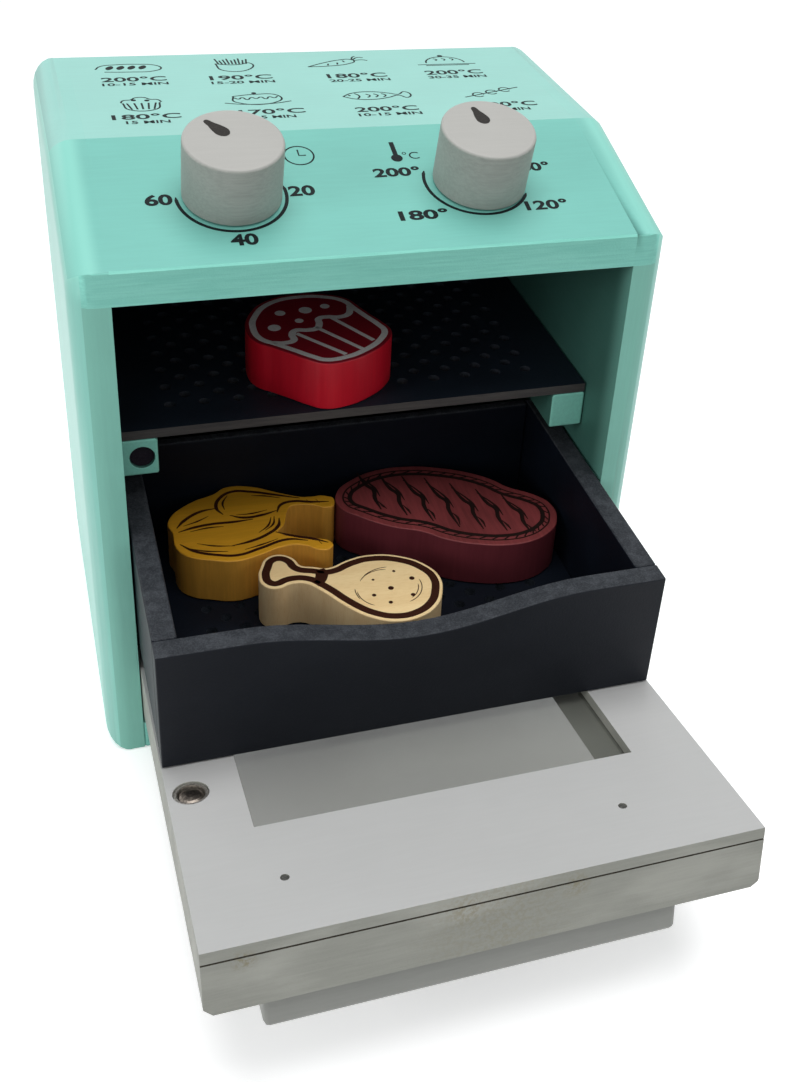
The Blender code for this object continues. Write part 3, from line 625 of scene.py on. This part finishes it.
def show_dials():
    """Two wooden dials with a dark teardrop on each cap, and their fixings."""
    cap_height, half_width, length_share = 0.0220, 0.0023, 0.9
    cap = slope_frame @ at(0, 0, cap_height)
    cap_normal = cap.to_3x3() @ Vector((0, 0, 1))
    # The teardrop's outline from its tip round, as shares of its length and of half its width
    outline = [(1.0, 0), (0.62, 0.62), (0.30, 0.95), (0.05, 1), (-0.14, 0.6), (-0.20, 0),
               (-0.14, -0.6), (0.05, -1), (0.30, -0.95), (0.62, -0.62)]
    # Where each drop's blunt end and tip lie on the slope, in millimetres
    drops = (("left", (-46.9, 36.7), (-52.6, 44.4)), ("right", (39.5, 37.3), (37.3, 46.0)))
    for side, blunt, tip in drops:
        node = "dial_" + side
        refined(node, ["dial_side", "dial"], lambda f: 1 if f.normal.dot(cap_normal) > 0.5 else 0)
        blunt, tip = Vector(blunt) * MM, Vector(tip) * MM
        reach = tip - blunt
        across = Vector((-reach.y, reach.x)).normalized() * half_width
        loop = [tuple(blunt + reach * a * length_share + across * b) for a, b in outline]
        ship("pointer_" + side, blots([loop], cap), body_of(node), ["pointer"], weighted=False)
        dress("dial_spindle_" + side, "spindle_wood")
        dress("dial_washer_" + side, "steel")


def show_scales():
    """Two arcs with plain numbers, a clock and a thermometer, printed on the slope."""
    arc_line, clock_line, stem_line = 0.0012, 0.0006, 0.0017
    # Each arc's radius, its start and end in degrees, and its middle
    sweeps = ((0.0178, 178, 372, (-0.0447, 0.0330)), (0.0179, 158, 333, (0.0388, 0.0337)))
    lines = [arc(radius, start, end, 36, middle) for radius, start, end, middle in sweeps]
    marks = [strokes(lines, arc_line, slope_frame, taper=True)]
    # Each number, its place, width and height, in millimetres
    words = (
        ("60", -68.0, 32.7, 8.8, 5.6), ("40", -44.4, 11.0, 8.8, 5.6), ("20", -21.6, 33.4, 8.8, 5.4),
        ("200°", 12.6, 40.6, 16.5, 5.0), ("180°", 16.1, 17.6, 17.0, 5.2),
        ("120°", 60.0, 18.8, 15.4, 5.2), ("80°", 62.2, 39.6, 11.5, 5.0),
    )
    for text, x, y, wide, high in words:
        marks.append(lettered(text, wide * MM, high * MM, slope_frame @ at(x * MM, y * MM, 0)))
    clock = slope_frame @ at(-0.0187, 0.0521, 0)
    marks.append(strokes([ring(0.0050, steps=20)], clock_line, clock, closed=True))
    marks.append(strokes([[(0, 0.0032), (0, 0), (0.0024, 0)]], clock_line, clock, smooth=False))
    stem = slope_frame @ at(0.0146, 0.0525, 0)
    marks.append(strokes([[(0, 0.0046), (0, -0.0030)]], stem_line, stem, smooth=False))
    marks.append(blots([ring(0.0020, (0, -0.0044))], stem))
    marks.append(lettered("°C", 0.0058, 0.0040, slope_frame @ at(0.0198, 0.0492, 0), bold=0))
    ship("scales", join(marks), "cabinet", ["print"], weighted=False)


def cooking_icons():
    """Simple line drawings of things to cook, in millimetres: thin lines, then filled shapes."""
    wave = [(-7, 1), (-6, 3.4), (-3.4, 4), (-1.5, 6), (1.5, 6), (3.4, 4), (6, 3.4), (7, 1)]
    loaf = [[(-12, -1), (-10, 2.5), (-4, 4), (4, 4), (10, 2.5), (12, -1), (9, -4), (0, -4.6),
             (-9, -4)]]
    cuts = [[(x, -1.6), (x + 1.6, 2.4), (x + 2.4, 2.2), (x + 1.2, -1.6)] for x in (-8, -4, 0, 4)]
    sticks = [[(x * 1.3, 1), (x * 1.5, 5.5 + (x % 3))] for x in (-4, -3, -2, -1, 0, 1, 2, 3, 4)]
    tub = [[(-6.5, 2), (-4.6, -6), (4.6, -6), (6.5, 2), (3, 0.6), (0, 0.2), (-3, 0.6), (-6.5, 2)]]
    carrot = [[(-12, -3.6), (-4, -3.4), (5, -1), (7.6, 1.8), (6, 4), (2, 3.6), (-5, 0.6), (-12, -3.6)]]
    leaves = [[(7, 3), (10, 6), (12, 5.6)], [(7.4, 2.4), (11, 3), (13, 2)],
              [(6.8, 3.4), (8, 6.6), (9, 7.4)]]
    rings = [[(-4, -2.6), (-3.4, -0.6)], [(0, -1.8), (0.4, 0.4)], [(3, 2.6), (3.4, 0.8)]]
    dome = [arc(8, 4, 176, 12, (0, -3), 0.95), [(-12, -4.4), (12, -4.4)], [(-9, -5.6), (9, -5.6)]]
    steam = [[(x, 0), (x + 0.8, 1.4), (x - 0.4, 2.4)] for x in (-3.4, 0, 3.4)]
    cup = [[(-6.4, 0.6), (-4.6, -6), (4.6, -6), (6.4, 0.6)], wave]
    pleats = [[(x * 1.25, 0.4), (x * 0.95, -5.8)] for x in (-4, -2, 0, 2, 4)]
    cake = [[(-8, 3), (-8, -3), (8, -3), (8, 3), (0, 4.4), (-8, 3)],
            [(-12, -3.6), (-6, -5.4), (6, -5.4), (12, -3.6)]]
    drip = [[(-8, 1.6), (-6.4, 0), (-5, 1.4), (-3.4, -0.8), (-1.6, 1.2), (0, 0), (1.8, 1.4),
             (3.4, -0.6), (5, 1.4), (6.6, 0.2), (8, 1.6)]]
    fish = [[(-12, 0), (-8, 3.2), (-1, 4.2), (6, 2), (9, 0.4), (12.4, 3), (12, -3.2), (9, -0.6),
             (5, -2.4), (-1, -4), (-8, -3), (-12, 0)]]
    gills = [[(-7, 2.8), (-5.8, 0), (-7, -2.8)]]
    gills += [[(x, 1.8), (x + 1.2, 0), (x, -1.8)] for x in (-3, 0, 3)]
    skewer = [[(-12, -4), (12, 5)]] + [ring(2.2, (x, x * 0.38 + 0.5), 8) for x in (-6, 0, 6)]
    return (
        (-65.7, 69.6, loaf, cuts), (-26.5, 69.8, sticks + tub, ()),
        (13.7, 68.9, carrot + leaves + rings, ()),
        (57.5, 68.4, dome + steam, [ring(1.1, (0, 5.6), 8)]),
        (-65.3, 31.3, cup + pleats, [ring(0.9, (-2.4, 3.4), 6), ring(0.9, (2.2, 2.8), 6)]),
        (-24.5, 32.3, cake + drip, [ring(0.9, (0, 5.6), 6)]),
        (19.3, 31.2, fish + gills, [ring(0.5, (-9.4, 0.8), 6)]), (65.0, 30.0, skewer, ()),
    )


def show_chart():
    """Eight small drawings on the top, each over a temperature and a time."""
    icon_line, heat_width, heat_height, time_height = 0.0007, 0.0234, 0.0050, 0.0028
    letter_step, last_gap, line_step, thin = 0.0029, 0.0025, 0.0054, 0.02
    marks = []
    for x, y, lines, fills in cooking_icons():
        place = top_frame @ at(x * MM, y * MM, 0)
        marks.append(strokes(scaled(lines, MM), icon_line, place))
        if fills:
            marks.append(blots(scaled(fills, MM), place))
    # The middle of each temperature, in millimetres, and the time under it
    captions = (
        (-65.0, 57.0, "200°C", "10-15 MIN"), (-26.0, 55.6, "190°C", "15-20 MIN"),
        (18.2, 53.9, "180°C", "20-25 MIN"), (57.3, 54.4, "200°C", "30-35 MIN"),
        (-65.1, 18.4, "180°C", "15 MIN"), (-21.4, 18.8, "170°C", "25 MIN"),
        (20.2, 17.2, "200°C", "10-15 MIN"), (66.5, 17.4, "200°C", "12 MIN"),
    )
    for x, y, heat, time in captions:
        place = top_frame @ at(x * MM, y * MM, 0)
        below, time_width = place @ at(0, -line_step, 0), letter_step * len(time) - last_gap
        marks.append(lettered(heat, heat_width, heat_height, place, bold=thin))
        marks.append(lettered(time, time_width, time_height, below, bold=thin))
    ship("cooking_chart", join(marks), "cabinet", ["print"], weighted=False)


# Rack, basket and door

# The holes' pitch along a row and their width, and how far they keep from the boards' edges
HOLE_PITCH, HOLE_WIDTH = 0.0122, 0.0042
ROW_STEP = HOLE_PITCH / 2
RACK_MARGIN, FLOOR_MARGIN = 0.0145, 0.0110


def hole_grid(width, depth, margin):
    """Staggered rows of holes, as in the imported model's boards."""
    rows = int((depth - 2 * margin) / ROW_STEP) + 1
    columns = int((width - 2 * margin) / HOLE_PITCH) + 1
    loops = []
    for row in range(rows):
        count = columns - row % 2
        y = (row - (rows - 1) / 2) * ROW_STEP
        xs = [(column - (count - 1) / 2) * HOLE_PITCH for column in range(count)]
        loops += [ring(HOLE_WIDTH / 2, (x, y), 14) for x in xs]
    return loops


def show_pierced(node, margin, face_look, front_look):
    """A perforated board with round holes."""
    low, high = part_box(node)
    half_x, half_y = (high.x - low.x) / 2, (high.y - low.y) / 2
    edge = [(-half_x, -half_y), (half_x, -half_y), (half_x, half_y), (-half_x, half_y)]
    bm = board([edge] + hole_grid(2 * half_x, 2 * half_y, margin), high.z - low.z)
    bmesh.ops.transform(bm, matrix=at(*(low + high) / 2), verts=bm.verts)

    def pick(face):
        if abs(face.normal.z) > 0.5:
            return 0
        return 2 if face.calc_center_median().y < low.y + SAME else 1
    ship(node + "_shown", bm, body_of(node), [face_look, "hole_wall", front_look], (node,),
         pick, weighted=False)


def show_basket():
    """Four walls in black stain, with paler sawn rims."""
    def rim(face):
        return 1 if face.normal.z > 0.6 else 2 if face.normal.y > FACING else 0
    refined("basket_front", ["black_front", "black_rim", "black"], rim, BASKET_ROUND)
    for node in ("basket_left", "basket_right", "basket_back"):
        refined(node, ["black", "black_rim"], faces_up, BOARD_ROUND)


# The door: its lean from level, where its foot starts, its window's opening and its panel's seam
DOOR_TILT = math.radians(90 - 79.54)
FOOT_START = -0.0635
WINDOW_SIDE, WINDOW_FRONT, WINDOW_BACK = 0.070, -0.185, -0.085
SEAM = 0.0006


def show_door_frame():
    """The thick frame, whose long outer corners are rounded from its foot to its front edge."""
    low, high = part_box("door_frame")
    outward = Vector((0, -math.sin(DOOR_TILT), -math.cos(DOOR_TILT)))
    bm = bare("door_frame")
    face_level = max(v.co.dot(outward) for v in bm.verts)

    def at_corner(spot, slack):
        outer = abs(spot.x) > high.x - slack and spot.dot(outward) > face_level - slack
        return outer and spot.y < FOOT_START

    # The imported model's small round-over goes back to a sharp corner, and is then made full size
    corner_reach, long_edge = 0.0007, 0.1
    corners = [v for v in bm.verts if at_corner(v.co, CAD_ROUND)]
    for vert in corners:
        vert.co += outward * (face_level - vert.co.dot(outward))
        vert.co.x = math.copysign(high.x, vert.co.x)
    bmesh.ops.remove_doubles(bm, verts=corners, dist=corner_reach)
    bmesh.ops.dissolve_limit(bm, angle_limit=FLAT, verts=bm.verts, edges=bm.edges)
    ease(bm, [e for e in bm.edges if e.calc_length() > long_edge and not lies_along(e, 0)
              and all(at_corner(v.co, CAD_ROUND / 2) for v in e.verts)], DOOR_ROUND, 4, held=False)
    ease(bm, [e for e in bm.edges if lies_along(e, 0) and all(v.co.z > high.z - SAME for v in e.verts)],
         BOARD_ROUND)

    def pick(face):
        """The seam under the panel, the shaded walls of the window's opening, or the rest."""
        middle = face.calc_center_median()
        if middle.z > high.z - SEAM:
            return 2
        inside = abs(middle.x) < WINDOW_SIDE and WINDOW_FRONT < middle.y < WINDOW_BACK
        return 1 if inside and abs(face.normal.z) < 0.9 else 0
    ship("door_frame_shown", bm, "fold_down_door", ["grey_edge", "reveal", "seam"],
         ("door_frame",), pick)


def show_door():
    """The frame, with its inner panel, handle, pane, catch and pins."""
    show_door_frame()
    hole_edge = 0.006  # the edges round the pins' and the catch's holes are shorter, and stay sharp
    refined("door_panel", ["grey_edge", "grey"], faces_up, PANEL_ROUND,
            lambda e: e.calc_length() > hole_edge)
    refined("door_handle", ["grey_handle"])
    dress("window_pane", "pane")
    dress("catch_cup", "steel")
    dress("catch_button", "dark_steel")
    for side in ("left", "right"):
        dress("handle_pin_" + side, "pin_hole")


# Foods, each cut from one board and engraved on its top face

# A food's length, the middle of its marks seen from above, and their turn in degrees
FOODS = {
    "cupcake": (0.0471, -0.0116, -0.0230, 33.5),
    "drumstick": (0.0644, -0.0122, -0.0849, -25),
    "roast_bird": (0.0612, -0.0393, -0.0420, -8),
    "steak": (0.0849, 0.0361, -0.0464, -27),
}


def top_outline(node):
    """The outline of a food, from its CAD solid, smoothed, anticlockwise."""
    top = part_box(node)[1].z
    bm = bmesh.new()
    bm.from_mesh(NODES[node].data)
    bmesh.ops.remove_doubles(bm, verts=bm.verts, dist=MERGE)
    level = max(v.co.z for v in bm.verts if v.co.z < top - CAD_ROUND)
    at_level = {v for v in bm.verts if abs(v.co.z - level) < SAME}
    start = last = min(at_level, key=lambda v: v.co.x)
    loop = [start]
    while True:
        near = [e.other_vert(last) for e in last.link_edges if e.other_vert(last) in at_level]
        fresh = [v for v in near if v not in loop]
        if not fresh:
            break
        last = fresh[0]
        loop.append(last)
    points = [Vector((v.co.x, v.co.y)) for v in loop]
    bm.free()
    area = sum(a.cross(b) for a, b in zip(points, points[1:] + points[:1]))
    if area < 0:
        points.reverse()
    fine = []
    for index, b in enumerate(points):
        # Three steps of a smooth curve from b to c, which also heeds a before them and d after
        a, c, d = (points[(index + step) % len(points)] for step in (-1, 1, 2))
        for t in (0, 1 / 3, 2 / 3):
            fine.append(0.5 * (2 * b + (c - a) * t + (2 * a - 5 * b + 4 * c - d) * t * t
                               + (3 * b - a - 3 * c + d) * t ** 3))
    return fine


def inset(points, depth):
    """A loop moved inwards, with its neighbours averaged so that it stays smooth."""
    moved = []
    for index, point in enumerate(points):
        reach = points[(index + 3) % len(points)] - points[index - 3]
        moved.append(point + Vector((-reach.y, reach.x)).normalized() * depth)
    return moved


def show_food(node, top_look, side_look):
    """Cut a food; give its outline, the frame of its marks and the unit they are drawn in."""
    low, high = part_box(node)
    outline = top_outline(node)
    bm = board([[tuple(p) for p in outline]], high.z - low.z, eased=FOOD_ROUND)
    bmesh.ops.transform(bm, matrix=at(0, 0, (low.z + high.z) / 2), verts=bm.verts)
    ship(node + "_shown", bm, body_of(node), [side_look, top_look], (node,), faces_up)
    length, x, y, degrees = FOODS[node]
    return outline, at(x, y, high.z) @ Matrix.Rotation(math.radians(degrees), 4, "Z"), length / 100


def engrave(node, look, marks):
    """Show a food's engraved lines as one piece."""
    ship(node + "_engraving", join(marks), body_of(node), [look], weighted=False)


def border(node, outline, depth, width):
    """A line that follows a food's outline, at a depth inside it."""
    level = at(0, 0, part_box(node)[1].z)
    return strokes([[tuple(p) for p in inset(outline, depth)]], width, level, closed=True, smooth=False)


def show_cupcake():
    node = "cupcake"
    outline, place, unit = show_food(node, "red_top", "red")
    scallop = [(-43, 4), (-37, -2), (-29, -4), (-24, 3), (-17, 6), (-10, 0), (-3, -3), (4, 1), (10, 7),
               (17, 4), (23, -2), (31, -4), (38, 0), (43, 5)]
    stripes = [[(-20, 2), (-16, -46)], [(-2, 0), (-1, -49)], [(18, 2), (15, -46)]]
    dots = [ring(5.0, (-26, 20), 10), ring(4.2, (-6, 34), 10), ring(5.2, (12, 24), 10),
            ring(3.8, (28, 18), 10), ring(3.4, (-4, 15), 10)]
    engrave(node, "cake_line", [
        border(node, outline, 0.0022, 0.0024),
        strokes(scaled([scallop], unit), 0.0026, place),
        strokes(scaled(stripes, unit), 0.0018, place),
        blots(scaled(dots, unit), place),
    ])


def show_drumstick():
    node = "drumstick"
    outline, place, unit = show_food(node, "wood_top", "wood_side")
    band = [(-19.5, 6.5), (-17, 3), (-17, -3), (-19, -6)]
    cuff = [(-15, 7), (-14, 2), (-15, -7)]
    arcs = [
        arc(15, 100, 172, 8, (20, -1), 1.05), arc(19, 110, 160, 8, (24, -1)),
        arc(14.5, 200, 262, 8, (19, -3)), arc(13, -52, 40, 10, (27, 1), 1.1),
        arc(10, -40, 24, 8, (28, 1), 1.2), arc(17, 196, 226, 6, (20, -1), 1.05),
    ]
    dots = [ring(1.5, (33, 10), 8), ring(1.6, (23, -1), 8), ring(1.3, (36, -4), 8),
            ring(1.2, (15, -9), 8), ring(1.2, (25, -13), 8), ring(0.9, (22, 14), 8),
            ring(0.8, (12, 4), 8)]
    engrave(node, "burn", [
        border(node, outline, 0.0021, 0.0029),
        strokes(scaled([band], unit), 0.0044, place),
        strokes(scaled([cuff], unit), 0.0012, place, taper=True),
        strokes(scaled(arcs, unit), 0.00035, place, taper=True),
        blots(scaled(dots, unit), place),
    ])


def show_roast():
    node = "roast_bird"
    place, unit = show_food(node, "mustard", "mustard_side")[1:]
    contours = [
        [(48, 17), (36, 17.5), (26, 19), (18, 16), (15, 8)],
        [(30, 22), (14, 27), (0, 31), (-12, 32), (-20, 25), (-22, 15), (-18, 8)],
        [(15, 10), (6, 6), (-6, 4), (-14, 7)],
        [(-22, 15), (-32, 12), (-42, 3), (-46, -4)],
        [(-45, -8), (-36, -4), (-24, -1), (-12, 0), (0, 2)],
        [(-44, -20), (-36, -27), (-22, -32), (-10, -33), (4, -27), (20, -20), (32, -22)],
        [(16, 2), (15, -6), (8, -14), (-2, -20), (-14, -24)],
        [(13, -12), (24, -17), (36, -21), (44, -25)],
    ]
    hatch = [
        [(11, 3), (9, -5), (3, -12)], [(13, 4), (12, -4), (7, -10)],
        [(-40, -24), (-28, -28), (-16, -29)], [(-6, -28), (4, -24), (14, -19)],
        [(-15, 28), (-18, 20), (-17, 13)], [(-10, 7), (0, 8), (9, 11)], [(-42, -2), (-34, 2), (-27, 7)],
        [(-38, -8), (-28, -5), (-18, -4)], [(18, 23), (8, 26), (0, 27)],
        [(-34, -20), (-24, -23), (-12, -24)], [(34, 20), (36, 17)], [(32, -19), (35, -22)],
        [(40, 20), (42, 16)], [(38, -22), (40, -26)],
    ]
    engrave(node, "burn", [
        strokes(scaled(contours, unit), 0.0014, place, taper=True),
        strokes(scaled(hatch, unit), 0.0009, place, taper=True),
    ])


def show_steak():
    node = "steak"
    outline, place, unit = show_food(node, "maroon", "maroon_side")
    # Seven wavy grill marks, the middle one the longest, each with two short fibres beside it
    grill, fibres = [], []
    for step in range(7):
        x = -36 + step * 11.5
        reach = 17 - abs(step - 3) * 1.4
        grill.append([(x - reach * 0.75, reach), (x - 3, 4), (x + 1, 1), (x + 3, -5),
                      (x + reach * 0.6, -reach)])
        fibres.append([(x - 1 - reach * 0.6, reach * 0.8), (x + 1, 3), (x + 5, -3)])
        fibres.append([(x + 5, -7), (x + 8, -10), (x + 10, -reach * 0.9)])
    # Slanting ticks between two loops inside the outline
    edge, inner = inset(outline, 0.0030), inset(outline, 0.0052)
    ticks = [[tuple(edge[index]), tuple(inner[(index + 3) % len(inner)])]
             for index in range(0, len(outline), 4)]
    level = at(0, 0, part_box(node)[1].z)
    engrave(node, "burn_dark", [
        border(node, outline, 0.0026, 0.0007), border(node, outline, 0.0052, 0.0018),
        strokes(ticks, 0.0022, level, smooth=False, taper=True),
        strokes(scaled(grill, unit), 0.0017, place, taper=True),
        strokes(scaled(fibres, unit), 0.0011, place, taper=True),
    ])


# Studio

# Each lamp's width, its place, what it is turned to, and its power in watts
LAMPS = (
    ("top", 1.3, (0.05, -0.10, 1.5), (0, -0.05, 0.1), 18),
    ("front", 0.9, (-0.5, -1.4, 0.7), (0, -0.1, 0.1), 1.8),
    ("right", 0.6, (1.2, -0.6, 0.7), (0.1, 0, 0.1), 2),
    ("left", 0.5, (-1.2, -0.5, 0.6), (-0.1, 0, 0.1), 4),
    ("rim", 0.8, (-0.9, 1.5, 0.7), (0, 0, 0.15), 2),
)


def light(name, size, place, target, power):
    """A round lamp at a place, turned to a target."""
    data = bpy.data.lights.new(name, "AREA")
    data.shape, data.size, data.energy = "DISK", size, power
    made = bpy.data.objects.new(name, data)
    bpy.context.scene.collection.objects.link(made)
    turn = (Vector(target) - Vector(place)).to_track_quat("-Z", "Y").to_matrix().to_4x4()
    made.matrix_world = at(*place) @ turn


def sky():
    """A soft light all round, and plain white where it is seen."""
    world = bpy.data.worlds.new("studio")
    bpy.context.scene.world = world
    world.use_nodes = True
    nodes = Nodes(world.node_tree)
    nodes.tree.nodes.clear()
    lit = nodes.node("ShaderNodeBackground", {"Color": (0.93, 0.97, 1, 1), "Strength": 0.30})
    shown = nodes.node("ShaderNodeBackground", {"Color": (1, 1, 1, 1), "Strength": 1})
    either = nodes.node("ShaderNodeMixShader", {
        0: nodes.seen(), 1: lit.outputs[0], 2: shown.outputs[0],
    })
    nodes.node("ShaderNodeOutputWorld", {"Surface": either.outputs[0]})


def ground():
    """A plain pale floor, brighter where it is seen, so that only the shadow shows; white far off."""
    reach, clearance = 3, 0.0002
    floor = Sheet("floor", Roughness=0.9, Specular_IOR_Level=0.1, Emission_Strength=1.0)
    soft = floor.noise(0.4, 1)
    far = 1 - floor.spot(0, -0.05, 0, 1.6)
    glow = floor.mix((0.45, 0.45, 0.45, 1), (1, 1, 1, 1), far)
    floor.feed(floor.shader.inputs["Emission Color"], floor.mix((0, 0, 0, 1), glow, floor.seen()))
    pale = floor.mix((0.88, 0.88, 0.88, 1), (0.91, 0.91, 0.91, 1), soft)
    floor.wear(floor.mix(pale, (0, 0, 0, 1), far))
    bm = bmesh.new()
    bmesh.ops.create_grid(bm, x_segments=1, y_segments=1, size=reach)
    data = bpy.data.meshes.new("floor")
    bm.to_mesh(data)
    bm.free()
    data.materials.append(floor.material)
    made = bpy.data.objects.new("floor", data)
    bpy.context.scene.collection.objects.link(made)
    made.location.z = -clearance


# The photo's view, from a fit of the cabinet's, basket's and door's corners
PHOTO_HEIGHT = 1082
FOCAL_PIXELS = 1367.76
CAMERA_PLACE = (-0.11158, -0.45573, 0.38922)
YAW, PITCH, ROLL = math.radians(-21.40), math.radians(-32.58), math.radians(5.36)
SHIFT = (-0.07498, -0.10377)


def camera():
    """The camera at the photo's place, its turns taken from the fit."""
    ahead = Vector((-math.sin(YAW) * math.cos(PITCH), math.cos(YAW) * math.cos(PITCH), math.sin(PITCH)))
    level = Vector((math.cos(YAW), math.sin(YAW), 0))
    rise = level.cross(ahead)
    right = level * math.cos(ROLL) + rise * math.sin(ROLL)
    up = rise * math.cos(ROLL) - level * math.sin(ROLL)
    data = bpy.data.cameras.new("camera")
    data.sensor_width = 36
    data.lens = FOCAL_PIXELS / PHOTO_HEIGHT * data.sensor_width
    data.shift_x, data.shift_y = SHIFT
    data.clip_start, data.clip_end = 0.01, 20
    made = bpy.data.objects.new("camera", data)
    bpy.context.scene.collection.objects.link(made)
    made.matrix_world = at(*CAMERA_PLACE) @ Matrix((right, up, -ahead)).transposed().to_4x4()
    bpy.context.scene.camera = made


show_sides()
show_panels()
show_dials()
show_scales()
show_chart()
show_pierced("rack", RACK_MARGIN, "rack_black", "raw_edge")
show_pierced("basket_floor", FLOOR_MARGIN, "black", "black")
show_basket()
show_door()
show_cupcake()
show_drumstick()
show_roast()
show_steak()

bpy.context.scene.view_settings.view_transform = "Standard"
sky()
ground()
for lamp in LAMPS:
    light(*lamp)
camera()
